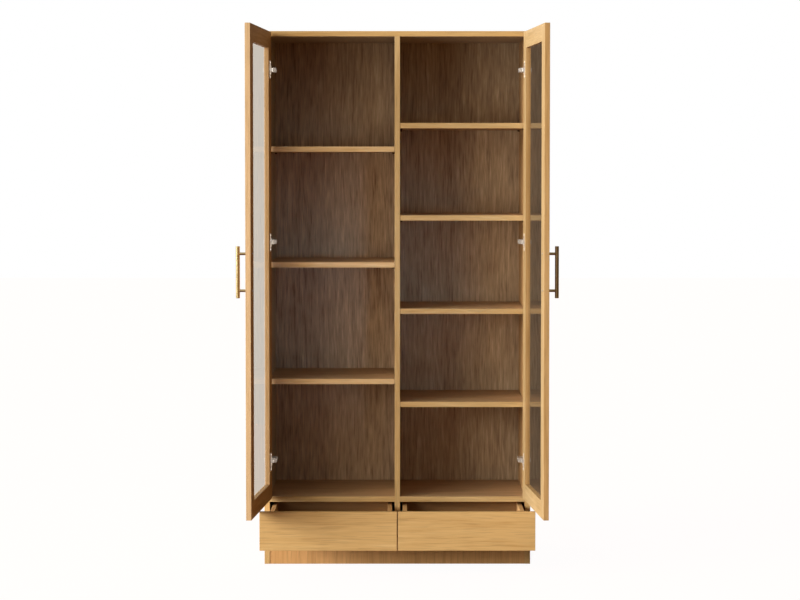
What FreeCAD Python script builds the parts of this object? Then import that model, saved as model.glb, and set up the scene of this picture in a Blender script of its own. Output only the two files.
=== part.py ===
import FreeCAD, Part
import math
import os

# A bookcase: two glazed doors over two drawers, in millimetres, +Z up, front towards -Y.
# The origin is on the floor under the middle of the carcass. Doors and drawers stand open.
#
# Most places are written as side, inboard, ahead and height: side is -1 for the left half and
# 1 for the right half, inboard counts from the outer face of that half's side panel towards
# the middle, and ahead counts from the carcass's front plane towards the viewer.

# Carcass
WIDTH = 1000.0
HEIGHT = 2000.0
CARCASS_DEPTH = 428.0
BOARD = 20.0
BACK_THICKNESS = 6.0
BACK_LAP = 8.0
PLINTH_HEIGHT = 100.0
TOE_SETBACK = 1.5
DRAWER_BAY_HEIGHT = 115.0
EASE = 0.8

# Shelves: the level of each top face is a part of the bay's height
LEFT_SHELF_LEVELS = [0.2574, 0.5113, 0.7623]
RIGHT_SHELF_LEVELS = [0.2072, 0.4104, 0.6133, 0.8133]
SHELF_SETBACK = 1.0
SHELF_PLAY = 1.0
PIN_RADIUS = 2.5
PIN_SEAT_RADIUS = 3.5
PIN_FLAT = 2.0
PIN_DEPTH = 8.0
PIN_REACH = 9.0
PIN_INSET = 40.0

# Dowels of the carcass
DOWEL_RADIUS = 4.0
DOWEL_IN_FACE = 8.0
DOWEL_IN_END = 20.0
DOWEL_INSET = 50.0

# Screws of the back panels
BACK_SCREW_LENGTH = 18.0
BACK_SCREW_COUNT = 5
BACK_SCREW_END = 60.0
BACK_SCREW_EDGE = 5.0

# Doors
DOOR_THICKNESS = 19.0
DOOR_GAP = 3.0
DOOR_REVEAL = 1.0
DOOR_TOP_REVEAL = 4.0
DOOR_DECK_LAP = 4.0
MEETING_GAP = 4.0
DOOR_OPEN_ANGLE = 95.0
HINGE_AXIS_INBOARD = 11.2
HINGE_AXIS_AHEAD = 20.95
STILE_WIDTH = 65.0
RAIL_WIDTH = 62.0
TONGUE_LENGTH = 20.0
TONGUE_THICKNESS = 5.0
TONGUE_HEIGHT = 44.0
LIP = 6.0
REBATE = 8.0
GLASS_THICKNESS = 4.0
GLASS_PLAY = 0.8

# Concealed hinges, three to a door
HINGE_END_INSET = 141.0
MIDDLE_HINGE_RISE = 90.0
CUP_RADIUS = 17.5
CUP_DEPTH = 12.5
CUP_WALL = 1.0
CUP_EDGE = 4.5
FLANGE_THICKNESS = 1.2
FLANGE_RADIUS = 19.0
FLANGE_HEIGHT = 66.0
FLANGE_TAB_WIDTH = 13.0
FLANGE_CORNER = 5.0
CUP_SCREW_SPACING = 52.0
CUP_SCREW_SHIFT = 8.0
ARM_HEIGHT = 16.0
ARM_SHEET = 1.6
ARM_REACH = 46.0
ARM_LENGTH = 58.0
ARM_FRONT = 1.1
ARM_PIVOT_INBOARD = 33.0
ARM_PIVOT_AHEAD = 6.5
ARM_NOSE_RADIUS = 3.0
PLATE_THICKNESS = 2.5
PLATE_HEIGHT = 48.0
PLATE_SCREW_SPACING = 32.0
PLATE_SCREW_SETBACK = 37.0
PLATE_WING = 12.0
PLATE_CORNER = 4.0
PLATE_FRONT_SETBACK = 14.5
ADJUSTER_RADIUS = 3.2
ADJUSTER_STAND = 0.8
ADJUSTER_SETBACKS = [20.0, 46.0]
PIVOT_PIN_RADIUS = 1.6
PIVOT_PLAY = 0.05
LINK_SHEET = 1.6
LINK_EYE_RADIUS = 2.5
LINK_PLAY = 0.6
LINK_ELBOW_INBOARD = 32.6
LINK_ELBOW_AHEAD = 20.5
LINK_TIP_INBOARD = 25.0
LINK_TIP_AHEAD = 21.7

# Bar handles
HANDLE_LENGTH = 183.0
HANDLE_SPACING = 130.0
HANDLE_PROJECTION = 39.0
HANDLE_INSET = 35.0
BAR_RADIUS = 7.0
POST_RADIUS = 5.0
HANDLE_SCREW_RADIUS = 2.0
HANDLE_SCREW_REACH = 11.0

# Drawers and their telescopic runners
DRAWER_FRONT_RISE = 6.0
DRAWER_PULLED = 280.0
DRAWER_LENGTH = 400.0
DRAWER_BOARD = 16.0
DRAWER_BOTTOM = 6.0
DRAWER_BOTTOM_RAISE = 10.0
DRAWER_GROOVE = 6.0
BOX_CLEAR_BELOW = 10.0
BOX_CLEAR_ABOVE = 14.0
RUNNER_SPACE = 10.0
RUNNER_SHORTFALL = 5.0
RUNNER_HEIGHT = 27.0
RUNNER_SHEET = 1.2
RUNNER_PLAY = 0.4
RUNNER_OUTER_DEPTH = 6.9
RUNNER_MIDDLE_DEPTH = 6.5
RUNNER_INNER_DEPTH = 6.8
RUNNER_SCREW_INSET = 45.0

# Wood screws
SCREW_RADIUS = 1.7
SCREW_LENGTH = 12.0
SCREW_HEAD_RADIUS = 3.4
SCREW_HEAD_HEIGHT = 1.6
FLUSH_HEAD_HEIGHT = 1.2
CROSS_SLOT = 0.9
DOME_PART = 0.6

# Worked out from the sizes above
UP = FreeCAD.Vector(0, 0, 1)
HALF_WIDTH = WIDTH / 2
FRONT = -CARCASS_DEPTH / 2
INNER_DEPTH = CARCASS_DEPTH - BACK_THICKNESS
BOTTOM_TOP = PLINTH_HEIGHT + BOARD
TOE_BACK = -TOE_SETBACK - BOARD
DECK_UNDERSIDE = BOTTOM_TOP + DRAWER_BAY_HEIGHT
DECK_TOP = DECK_UNDERSIDE + BOARD
TOP_UNDERSIDE = HEIGHT - BOARD
DIVIDER_FACE = HALF_WIDTH - BOARD / 2
DOOR_BOTTOM = DECK_TOP - DOOR_DECK_LAP
DOOR_TOP = HEIGHT - DOOR_TOP_REVEAL
DOOR_MIDDLE = (DOOR_BOTTOM + DOOR_TOP) / 2
DOOR_WIDTH = HALF_WIDTH - DOOR_REVEAL - MEETING_GAP / 2
FRONT_BOTTOM = PLINTH_HEIGHT + DRAWER_FRONT_RISE
FRONT_TOP = DOOR_BOTTOM - MEETING_GAP
BOX_BOTTOM = BOTTOM_TOP + BOX_CLEAR_BELOW
BOX_TOP = DECK_UNDERSIDE - BOX_CLEAR_ABOVE
RUNNER_LENGTH = DRAWER_LENGTH - RUNNER_SHORTFALL
RUNNER_LEVEL = (BOX_BOTTOM + BOX_TOP) / 2
RUNNER_WALLS = [(BOARD, 1), (DIVIDER_FACE, -1)]
HINGE_LEVELS = [DOOR_BOTTOM + HINGE_END_INSET, DOOR_MIDDLE + MIDDLE_HINGE_RISE,
                DOOR_TOP - HINGE_END_INSET]
CUP_CENTRE = CUP_EDGE + CUP_RADIUS
SIDES = {"left": -1, "right": 1}


def spot(side, inboard, ahead, height):
    return FreeCAD.Vector(side * (HALF_WIDTH - inboard), FRONT - ahead, height)


def slab(side, inboards, aheads, heights):
    first = spot(side, inboards[0], aheads[0], heights[0])
    last = spot(side, inboards[1], aheads[1], heights[1])
    low = FreeCAD.Vector(min(first.x, last.x), min(first.y, last.y), heights[0])
    return Part.makeBox(abs(first.x - last.x), abs(first.y - last.y), heights[1] - heights[0], low)


def centre_slab(half_width, aheads, heights):
    low = FreeCAD.Vector(-half_width, FRONT - aheads[1], heights[0])
    return Part.makeBox(2 * half_width, aheads[1] - aheads[0], heights[1] - heights[0], low)


def eased(board):
    return board.makeFillet(EASE, board.Edges)


def prism(side, outline, heights):
    corners = [spot(side, inboard, ahead, heights[0]) for inboard, ahead in outline]
    face = Part.Face(Part.makePolygon(corners + corners[:1]))
    return face.extrude(UP * (heights[1] - heights[0]))


def upright(side, inboard, ahead, radius, heights):
    return Part.makeCylinder(radius, heights[1] - heights[0], spot(side, inboard, ahead, heights[0]), UP)


def rod(start, end, radius):
    return Part.makeCylinder(radius, (end - start).Length, start, end - start)


def joined(solids):
    whole = solids[0].fuse(solids[1:])
    return whole.removeSplitter()


def fitted(board, pieces):
    # the board with room cut for every piece that enters it
    inside = [piece for piece in pieces if piece.BoundBox.intersect(board.BoundBox)]
    if not inside:
        return board
    return board.cut(inside)


def placed(solid, seat, direction):
    # turns a solid that was built along +Z from the origin
    solid.Placement = FreeCAD.Placement(seat, FreeCAD.Rotation(UP, direction))
    return solid


def flat_screw(seat, direction, length):
    # its head is flush with the face that seat lies on
    head = Part.makeCone(SCREW_HEAD_RADIUS, SCREW_RADIUS, FLUSH_HEAD_HEIGHT)
    shank = Part.makeCylinder(SCREW_RADIUS, length)
    return placed(joined([head, shank]), seat, direction)


def pan_screw(seat, direction, head_radius, shank_radius, length):
    # its domed head, with a cross recess, stands on the face that seat lies on
    head = Part.makeCylinder(head_radius, SCREW_HEAD_HEIGHT, FreeCAD.Vector(0, 0, -SCREW_HEAD_HEIGHT))
    rim = [edge for edge in head.Edges if edge.BoundBox.ZMax < -SCREW_HEAD_HEIGHT / 2]
    dome = head.makeFillet(SCREW_HEAD_HEIGHT * DOME_PART, rim)
    screw = joined([dome, Part.makeCylinder(shank_radius, length)])
    for width, depth in ((CROSS_SLOT, head_radius), (head_radius, CROSS_SLOT)):
        corner = FreeCAD.Vector(-width / 2, -depth / 2, -SCREW_HEAD_HEIGHT)
        screw = screw.cut(Part.makeBox(width, depth, SCREW_HEAD_HEIGHT * DOME_PART, corner))
    return placed(screw, seat, direction)


def save(name, solids):
    Part.makeCompound(solids).exportStep("parts/" + name + ".step")


# ---------------------------------------------------------------- carcass

def dowel(seat, direction):
    return rod(seat - direction * DOWEL_IN_FACE, seat + direction * DOWEL_IN_END, DOWEL_RADIUS)


def carcass_dowels():
    rows = [-DOWEL_INSET, -INNER_DEPTH / 2, DOWEL_INSET - INNER_DEPTH]
    rail_rows = [TOE_BACK + BOARD / 2, BOARD / 2 - INNER_DEPTH]
    dowels = []
    for side in SIDES.values():
        inward = FreeCAD.Vector(-side, 0, 0)
        for ahead in rows:
            dowels.append(dowel(spot(side, BOARD / 2, ahead, TOP_UNDERSIDE), -UP))
            dowels.append(dowel(spot(side, BOARD, ahead, BOTTOM_TOP - BOARD / 2), inward))
            dowels.append(dowel(spot(side, BOARD, ahead, DECK_TOP - BOARD / 2), inward))
            dowels.append(dowel(spot(side, DIVIDER_FACE, ahead, DECK_TOP - BOARD / 2), -inward))
        for ahead in rail_rows:
            dowels.append(dowel(spot(side, BOARD, ahead, PLINTH_HEIGHT / 2), inward))
    for ahead in rows:
        dowels.append(dowel(spot(1, HALF_WIDTH, ahead, TOP_UNDERSIDE), -UP))
        dowels.append(dowel(spot(1, HALF_WIDTH, ahead, BOTTOM_TOP), UP))
    backward = FreeCAD.Vector(0, 1, 0)
    dowels.append(dowel(spot(1, HALF_WIDTH, TOE_BACK, PLINTH_HEIGHT / 2), backward))
    dowels.append(dowel(spot(1, HALF_WIDTH, BOARD - INNER_DEPTH, PLINTH_HEIGHT / 2), -backward))
    return dowels


def back_screws():
    forward = FreeCAD.Vector(0, -1, 0)
    low = PLINTH_HEIGHT + BACK_SCREW_END
    step = (HEIGHT - BACK_SCREW_END - low) / (BACK_SCREW_COUNT - 1)
    screws = []
    for side in SIDES.values():
        for inboard in (BOARD - BACK_LAP / 2, HALF_WIDTH - BACK_SCREW_EDGE):
            for index in range(BACK_SCREW_COUNT):
                seat = spot(side, inboard, -CARCASS_DEPTH, low + index * step)
                screws.append(flat_screw(seat, forward, BACK_SCREW_LENGTH))
    return screws


def back_panel(side):
    return slab(side, (BOARD - BACK_LAP, HALF_WIDTH), (-CARCASS_DEPTH, -INNER_DEPTH),
                (PLINTH_HEIGHT, TOP_UNDERSIDE + BACK_LAP))


def side_panel(side):
    return eased(slab(side, (0, BOARD), (-CARCASS_DEPTH, 0), (0, TOP_UNDERSIDE)))


def deck(side):
    return eased(slab(side, (BOARD, DIVIDER_FACE), (-INNER_DEPTH, 0), (DECK_UNDERSIDE, DECK_TOP)))


def shelf(side, level):
    top = DECK_TOP + level * (TOP_UNDERSIDE - DECK_TOP)
    ends = (BOARD + SHELF_PLAY, DIVIDER_FACE - SHELF_PLAY)
    return eased(slab(side, ends, (SHELF_PLAY - INNER_DEPTH, -SHELF_SETBACK), (top - BOARD, top)))


def shelf_pins(side, level):
    axis_level = DECK_TOP + level * (TOP_UNDERSIDE - DECK_TOP) - BOARD - PIN_FLAT
    pins = []
    for wall, outward in ((BOARD, 1), (DIVIDER_FACE, -1)):
        for ahead in (-SHELF_SETBACK - PIN_INSET, SHELF_PLAY - INNER_DEPTH + PIN_INSET):
            face = spot(side, wall, ahead, axis_level)
            reach = FreeCAD.Vector(-side * outward, 0, 0)
            shank = rod(face - reach * PIN_DEPTH, face, PIN_RADIUS)
            head = rod(face, face + reach * PIN_REACH, PIN_SEAT_RADIUS)
            seat = slab(side, (BOARD, DIVIDER_FACE), (ahead - PIN_SEAT_RADIUS, ahead + PIN_SEAT_RADIUS),
                        (axis_level - PIN_SEAT_RADIUS, axis_level + PIN_FLAT))
            pins.append(joined([shank, head.common(seat)]))
    return pins


# ---------------------------------------------------------------- hinges

def hinge_plate(side, level):
    wing = slab(side, (BOARD, BOARD + PLATE_THICKNESS),
                (-PLATE_SCREW_SETBACK - PLATE_WING / 2, -PLATE_SCREW_SETBACK + PLATE_WING / 2),
                (level - PLATE_HEIGHT / 2, level + PLATE_HEIGHT / 2))
    corners = [edge for edge in wing.Edges if abs(edge.tangentAt(edge.FirstParameter).x) > 0.5]
    wing = wing.makeFillet(PLATE_CORNER, corners)
    base = slab(side, (BOARD, BOARD + PLATE_THICKNESS), (-ARM_LENGTH, -PLATE_FRONT_SETBACK),
                (level - ARM_HEIGHT / 2, level + ARM_HEIGHT / 2))
    return joined([wing, base])


def plate_screws(side, level):
    outward = FreeCAD.Vector(side, 0, 0)
    screws = []
    for rise in (-PLATE_SCREW_SPACING / 2, PLATE_SCREW_SPACING / 2):
        seat = spot(side, BOARD + PLATE_THICKNESS, -PLATE_SCREW_SETBACK, level + rise)
        screws.append(pan_screw(seat, outward, SCREW_HEAD_RADIUS, SCREW_RADIUS, SCREW_LENGTH))
    return screws


def hinge_arm(side, level):
    # a folded channel: two cheeks, a web and a short front, with a nose that carries the pivot
    foot = BOARD + PLATE_THICKNESS
    nose = (ARM_PIVOT_INBOARD, ARM_PIVOT_AHEAD)
    outline = [(foot, -ARM_LENGTH), (foot, -PLATE_FRONT_SETBACK), (nose[0] - ARM_NOSE_RADIUS, 0),
               (nose[0] - ARM_NOSE_RADIUS, nose[1]), (nose[0] + ARM_NOSE_RADIUS, nose[1]),
               (nose[0] + ARM_NOSE_RADIUS, ARM_FRONT), (ARM_REACH, ARM_FRONT), (ARM_REACH, -ARM_LENGTH)]
    full = (level - ARM_HEIGHT / 2, level + ARM_HEIGHT / 2)
    inside = (full[0] + ARM_SHEET, full[1] - ARM_SHEET)
    reach = abs(spot(side, ARM_REACH, 0, 0).x)
    body = prism(side, outline, full)
    folds = [edge for edge in body.Edges if edge.BoundBox.YLength > ARM_LENGTH / 2
             and abs(abs(edge.BoundBox.Center.x) - reach) < ARM_SHEET / 2]
    body = body.makeFillet(ARM_SHEET, folds)
    nose_end = upright(side, nose[0], nose[1], ARM_NOSE_RADIUS, full)
    channel_room = slab(side, (foot, ARM_REACH - ARM_SHEET), (-ARM_LENGTH, ARM_FRONT - ARM_SHEET), inside)
    nose_reach = (nose[0] + ARM_NOSE_RADIUS, nose[1] + ARM_NOSE_RADIUS)
    nose_room = slab(side, (foot, nose_reach[0]), (-ARM_LENGTH, nose_reach[1]), inside)
    return joined([body, nose_end]).cut([channel_room, nose_room])


def pivot_pin(side, level):
    return upright(side, ARM_PIVOT_INBOARD, ARM_PIVOT_AHEAD, PIVOT_PIN_RADIUS,
                   (level - ARM_HEIGHT / 2, level + ARM_HEIGHT / 2))


def adjusting_screws(side, level):
    # flat heads that pass through the arm's web
    inward = FreeCAD.Vector(-side, 0, 0)
    screws = []
    for setback in ADJUSTER_SETBACKS:
        crown = spot(side, ARM_REACH + ADJUSTER_STAND, -setback, level)
        screw = rod(crown, crown - inward * (ADJUSTER_STAND + 2 * ARM_SHEET), ADJUSTER_RADIUS)
        for width, height in ((CROSS_SLOT, ADJUSTER_RADIUS), (ADJUSTER_RADIUS, CROSS_SLOT)):
            slot = slab(side, (ARM_REACH, ARM_REACH + ADJUSTER_STAND),
                        (-setback - width / 2, -setback + width / 2),
                        (level - height / 2, level + height / 2))
            screw = screw.cut(slot)
        screws.append(screw)
    return screws


def bar_between(side, start, end, thickness, heights):
    run = math.hypot(end[0] - start[0], end[1] - start[1])
    across = (-(end[1] - start[1]) / run * thickness / 2, (end[0] - start[0]) / run * thickness / 2)
    outline = [(start[0] + across[0], start[1] + across[1]), (end[0] + across[0], end[1] + across[1]),
               (end[0] - across[0], end[1] - across[1]), (start[0] - across[0], start[1] - across[1])]
    return prism(side, outline, heights)


def hinge_link(side, level):
    # bent strip from the arm's pivot, round the door's edge, to the pivot inside the cup
    half = ARM_HEIGHT / 2 - ARM_SHEET - LINK_PLAY
    heights = (level - half, level + half)
    pivot = (ARM_PIVOT_INBOARD, ARM_PIVOT_AHEAD)
    elbow = (LINK_ELBOW_INBOARD, LINK_ELBOW_AHEAD)
    tip = (LINK_TIP_INBOARD, LINK_TIP_AHEAD)
    strip = joined([upright(side, pivot[0], pivot[1], LINK_EYE_RADIUS, heights),
                    bar_between(side, pivot, elbow, LINK_SHEET, heights),
                    upright(side, elbow[0], elbow[1], LINK_SHEET / 2, heights),
                    bar_between(side, elbow, tip, LINK_SHEET, heights),
                    upright(side, tip[0], tip[1], LINK_SHEET / 2, heights)])
    return strip.cut(upright(side, pivot[0], pivot[1], PIVOT_PIN_RADIUS + PIVOT_PLAY, heights))


def cup(side, level):
    centre = DOOR_REVEAL + CUP_CENTRE
    forward = FreeCAD.Vector(0, -1, 0)
    face = spot(side, centre, DOOR_GAP, level)
    tab_middle = centre + CUP_SCREW_SHIFT
    tab_aheads = (DOOR_GAP - FLANGE_THICKNESS, DOOR_GAP)
    tabs = slab(side, (tab_middle - FLANGE_TAB_WIDTH / 2, tab_middle + FLANGE_TAB_WIDTH / 2), tab_aheads,
                (level - FLANGE_HEIGHT / 2, level + FLANGE_HEIGHT / 2))
    upright_edges = [edge for edge in tabs.Edges if abs(edge.tangentAt(edge.FirstParameter).y) > 0.5]
    tabs = tabs.makeFillet(FLANGE_CORNER, upright_edges)
    disc = rod(face - forward * FLANGE_THICKNESS, face, FLANGE_RADIUS)
    body = rod(face, face + forward * CUP_DEPTH, CUP_RADIUS)
    floor = face + forward * (CUP_DEPTH - CUP_WALL)
    hollow = rod(face - forward * FLANGE_THICKNESS, floor, CUP_RADIUS - CUP_WALL)
    return joined([tabs, disc, body]).cut(hollow)


def cup_bore(side, level):
    face = spot(side, DOOR_REVEAL + CUP_CENTRE, DOOR_GAP, level)
    return rod(face, face + FreeCAD.Vector(0, -CUP_DEPTH, 0), CUP_RADIUS)


def cup_screws(side, level):
    forward = FreeCAD.Vector(0, -1, 0)
    screws = []
    for rise in (-CUP_SCREW_SPACING / 2, CUP_SCREW_SPACING / 2):
        seat = door_spot(side, CUP_CENTRE + CUP_SCREW_SHIFT, -FLANGE_THICKNESS, level + rise)
        screws.append(pan_screw(seat, forward, SCREW_HEAD_RADIUS, SCREW_RADIUS, SCREW_LENGTH))
    return screws


# ---------------------------------------------------------------- doors

def swung(side, solids):
    axis = spot(side, HINGE_AXIS_INBOARD, HINGE_AXIS_AHEAD, 0)
    return [solid.rotated(axis, UP, side * DOOR_OPEN_ANGLE) for solid in solids]


def door_slab(side, across, through, heights):
    # across counts from the door's hinge edge, through from its inner face
    return slab(side, (DOOR_REVEAL + across[0], DOOR_REVEAL + across[1]),
                (DOOR_GAP + through[0], DOOR_GAP + through[1]), heights)


def door_spot(side, across, through, height):
    return spot(side, DOOR_REVEAL + across, DOOR_GAP + through, height)


def glass_opening(side, grow, through):
    return door_slab(side, (STILE_WIDTH - grow, DOOR_WIDTH - STILE_WIDTH + grow), through,
                     (DOOR_BOTTOM + RAIL_WIDTH - grow, DOOR_TOP - RAIL_WIDTH + grow))


def door_frame(side, fittings):
    # stiles run the full height; the rails' tongues enter them behind the glass rebate's lip
    blank = eased(door_slab(side, (0, DOOR_WIDTH), (0, DOOR_THICKNESS), (DOOR_BOTTOM, DOOR_TOP)))
    blank = blank.cut([glass_opening(side, 0, (0, DOOR_THICKNESS)),
                       glass_opening(side, REBATE, (0, DOOR_THICKNESS - LIP))])
    through = (0, DOOR_THICKNESS)
    members = {}
    tongues = []
    for name, low in (("bottom_rail", DOOR_BOTTOM), ("top_rail", DOOR_TOP - RAIL_WIDTH)):
        tongue_low = low + (RAIL_WIDTH - TONGUE_HEIGHT) / 2
        tongue = door_slab(side, (STILE_WIDTH - TONGUE_LENGTH, DOOR_WIDTH - STILE_WIDTH + TONGUE_LENGTH),
                           (DOOR_THICKNESS - LIP - TONGUE_THICKNESS, DOOR_THICKNESS - LIP),
                           (tongue_low, tongue_low + TONGUE_HEIGHT))
        band = door_slab(side, (STILE_WIDTH, DOOR_WIDTH - STILE_WIDTH), through, (low, low + RAIL_WIDTH))
        members[name] = joined([blank.common(band), tongue])
        tongues.append(tongue)
    for name, start in (("hinge_stile", 0), ("free_stile", DOOR_WIDTH - STILE_WIDTH)):
        band = door_slab(side, (start, start + STILE_WIDTH), through, (DOOR_BOTTOM, DOOR_TOP))
        members[name] = fitted(blank.common(band), tongues + fittings)
    return members


def glass_pane(side):
    through = (DOOR_THICKNESS - LIP - GLASS_THICKNESS, DOOR_THICKNESS - LIP)
    return glass_opening(side, REBATE - GLASS_PLAY, through)


def glass_bead(side):
    # four mitred strips that hold the pane in its rebate
    through = (0, DOOR_THICKNESS - LIP - GLASS_THICKNESS)
    ring = glass_opening(side, REBATE, through).cut(glass_opening(side, 0, through))
    left = STILE_WIDTH - REBATE
    right = DOOR_WIDTH - STILE_WIDTH + REBATE
    low = DOOR_BOTTOM + RAIL_WIDTH - REBATE
    high = DOOR_TOP - RAIL_WIDTH + REBATE
    middle = (left + right) / 2
    reach = (right - left) / 2
    strips = []
    for end, inward in ((low, reach), (high, -reach)):
        corners = [door_spot(side, across, 0, height)
                   for across, height in ((left, end), (right, end), (middle, end + inward))]
        triangle = Part.Face(Part.makePolygon(corners + corners[:1]))
        wedge = triangle.extrude(FreeCAD.Vector(0, -DOOR_THICKNESS, 0))
        strips.append(ring.common(wedge))
        ring = ring.cut(wedge)
    return strips + ring.Solids


def handle(side):
    across = DOOR_WIDTH - HANDLE_INSET
    bar_through = DOOR_THICKNESS + HANDLE_PROJECTION - BAR_RADIUS
    low = door_spot(side, across, bar_through, DOOR_MIDDLE - HANDLE_LENGTH / 2)
    bar = Part.makeCylinder(BAR_RADIUS, HANDLE_LENGTH, low, UP)
    rims = [edge for edge in bar.Edges if len(edge.Vertexes) == 1]
    bar = bar.makeChamfer(EASE, rims)
    posts = []
    for rise in (-HANDLE_SPACING / 2, HANDLE_SPACING / 2):
        foot = door_spot(side, across, DOOR_THICKNESS, DOOR_MIDDLE + rise)
        crown = door_spot(side, across, bar_through, DOOR_MIDDLE + rise)
        posts.append(rod(foot, crown, POST_RADIUS).cut(bar))
    return [bar] + posts


def handle_screws(side):
    forward = FreeCAD.Vector(0, -1, 0)
    screws = []
    for rise in (-HANDLE_SPACING / 2, HANDLE_SPACING / 2):
        seat = door_spot(side, DOOR_WIDTH - HANDLE_INSET, 0, DOOR_MIDDLE + rise)
        screws.append(pan_screw(seat, forward, 2 * HANDLE_SCREW_RADIUS, HANDLE_SCREW_RADIUS,
                                DOOR_THICKNESS + HANDLE_SCREW_REACH))
    return screws


def write_door(name, side):
    cups = [cup(side, level) for level in HINGE_LEVELS]
    bores = [cup_bore(side, level) for level in HINGE_LEVELS]
    screws = [screw for level in HINGE_LEVELS for screw in cup_screws(side, level)]
    pulls = handle_screws(side)
    frame = door_frame(side, bores + screws + pulls)
    for member in frame:
        save(name + "_door_" + member, swung(side, [frame[member]]))
    save(name + "_door_glass", swung(side, [glass_pane(side)]))
    save(name + "_door_glass_bead", swung(side, glass_bead(side)))
    save(name + "_hinge_cups", swung(side, [fitted(solid, screws) for solid in cups] + screws))
    save(name + "_handle", swung(side, [fitted(solid, pulls) for solid in handle(side)]))
    save(name + "_handle_screws", swung(side, pulls))


# ---------------------------------------------------------------- drawers and runners

def channel(side, wall, facing, depths, half_height, web_at_wall, aheads):
    ends = (wall + facing * depths[0], wall + facing * depths[1])
    if web_at_wall:
        hollow = (wall + facing * (depths[0] + RUNNER_SHEET), ends[1])
    else:
        hollow = (ends[0], wall + facing * (depths[1] - RUNNER_SHEET))
    heights = (RUNNER_LEVEL - half_height, RUNNER_LEVEL + half_height)
    inner_heights = (heights[0] + RUNNER_SHEET, heights[1] - RUNNER_SHEET)
    return slab(side, ends, aheads, heights).cut(slab(side, hollow, aheads, inner_heights))


def runner_screws(side, wall, facing, depth, direction, shift):
    rear = DOOR_GAP - DRAWER_LENGTH + shift
    front = rear + RUNNER_LENGTH
    reach = FreeCAD.Vector(-side * facing * direction, 0, 0)
    screws = []
    for ahead in (rear + RUNNER_SCREW_INSET, (rear + front) / 2, front - RUNNER_SCREW_INSET):
        seat = spot(side, wall + facing * depth, ahead, RUNNER_LEVEL)
        screws.append(flat_screw(seat, reach, SCREW_LENGTH))
    return screws


def fixed_runners(side):
    # outer members and the screws that fix them to the carcass
    rear = DOOR_GAP - DRAWER_LENGTH
    members = []
    screws = []
    for wall, facing in RUNNER_WALLS:
        fixings = runner_screws(side, wall, facing, RUNNER_SHEET, -1, 0)
        member = channel(side, wall, facing, (0, RUNNER_OUTER_DEPTH), RUNNER_HEIGHT / 2, True,
                         (rear, rear + RUNNER_LENGTH))
        members.append(fitted(member, fixings))
        screws += fixings
    return members, screws


def middle_runners(side):
    rear = DOOR_GAP - DRAWER_LENGTH + DRAWER_PULLED / 2
    near = RUNNER_SHEET + RUNNER_PLAY
    half_height = RUNNER_HEIGHT / 2 - RUNNER_SHEET - RUNNER_PLAY
    return [channel(side, wall, facing, (near, near + RUNNER_MIDDLE_DEPTH), half_height, True,
                    (rear, rear + RUNNER_LENGTH)) for wall, facing in RUNNER_WALLS]


def drawer_runners(side):
    # inner members and the screws that fix them to the drawer
    rear = DOOR_GAP - DRAWER_LENGTH + DRAWER_PULLED
    half_height = RUNNER_HEIGHT / 2 - 2 * RUNNER_SHEET - 2 * RUNNER_PLAY
    members = []
    screws = []
    for wall, facing in RUNNER_WALLS:
        fixings = runner_screws(side, wall, facing, RUNNER_SPACE - RUNNER_SHEET, 1, DRAWER_PULLED)
        depths = (RUNNER_SPACE - RUNNER_INNER_DEPTH, RUNNER_SPACE)
        member = channel(side, wall, facing, depths, half_height, False, (rear, rear + RUNNER_LENGTH))
        members.append(fitted(member, fixings))
        screws += fixings
    return members, screws


def write_drawer(name, side):
    shift = DRAWER_PULLED + DOOR_GAP
    ends = (BOARD + RUNNER_SPACE, DIVIDER_FACE - RUNNER_SPACE)
    inner = (ends[0] + DRAWER_BOARD, ends[1] - DRAWER_BOARD)
    length = (shift - DRAWER_LENGTH, shift)
    heights = (BOX_BOTTOM, BOX_TOP)
    bottom_level = BOX_BOTTOM + DRAWER_BOTTOM_RAISE
    members, screws = drawer_runners(side)
    bottom = slab(side, (inner[0] - DRAWER_GROOVE, inner[1] + DRAWER_GROOVE),
                  (length[0] + DRAWER_BOARD - DRAWER_GROOVE, shift + DRAWER_GROOVE),
                  (bottom_level, bottom_level + DRAWER_BOTTOM))
    front = eased(slab(side, (DOOR_REVEAL, DOOR_REVEAL + DOOR_WIDTH), (shift, shift + DOOR_THICKNESS),
                       (FRONT_BOTTOM, FRONT_TOP)))
    outer_side = eased(slab(side, (ends[0], inner[0]), length, heights))
    inner_side = eased(slab(side, (inner[1], ends[1]), length, heights))
    back = eased(slab(side, inner, (length[0], length[0] + DRAWER_BOARD), heights))
    save(name + "_drawer_front", [front.cut(bottom)])
    save(name + "_drawer_outer_side", [fitted(outer_side, [bottom] + screws)])
    save(name + "_drawer_inner_side", [fitted(inner_side, [bottom] + screws)])
    save(name + "_drawer_back", [back.cut(bottom)])
    save(name + "_drawer_bottom", [bottom])
    save(name + "_drawer_runners", members + screws)
    save(name + "_middle_runners", middle_runners(side))


def write_fasteners():
    # everything that enters a carcass board; the boards are cut to take it
    dowels = carcass_dowels()
    screws = back_screws()
    pins = []
    for side, levels in ((-1, LEFT_SHELF_LEVELS), (1, RIGHT_SHELF_LEVELS)):
        for level in levels:
            pins += shelf_pins(side, level)
    plates = []
    arms = []
    plate_fixings = []
    runners = []
    runner_fixings = []
    for side in SIDES.values():
        for level in HINGE_LEVELS:
            fixings = plate_screws(side, level)
            plates.append(fitted(hinge_plate(side, level), fixings))
            plate_fixings += fixings
            pin = pivot_pin(side, level)
            trims = adjusting_screws(side, level)
            arms += [fitted(hinge_arm(side, level), [pin] + trims), pin] + trims
        members, fixings = fixed_runners(side)
        runners += members
        runner_fixings += fixings
    save("shelf_pins", pins)
    save("carcass_dowels", dowels)
    save("back_screws", screws)
    save("hinge_plates", plates + plate_fixings)
    save("hinge_arms", arms)
    save("fixed_runners", runners + runner_fixings)
    return pins + dowels + screws + plate_fixings + runner_fixings


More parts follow.
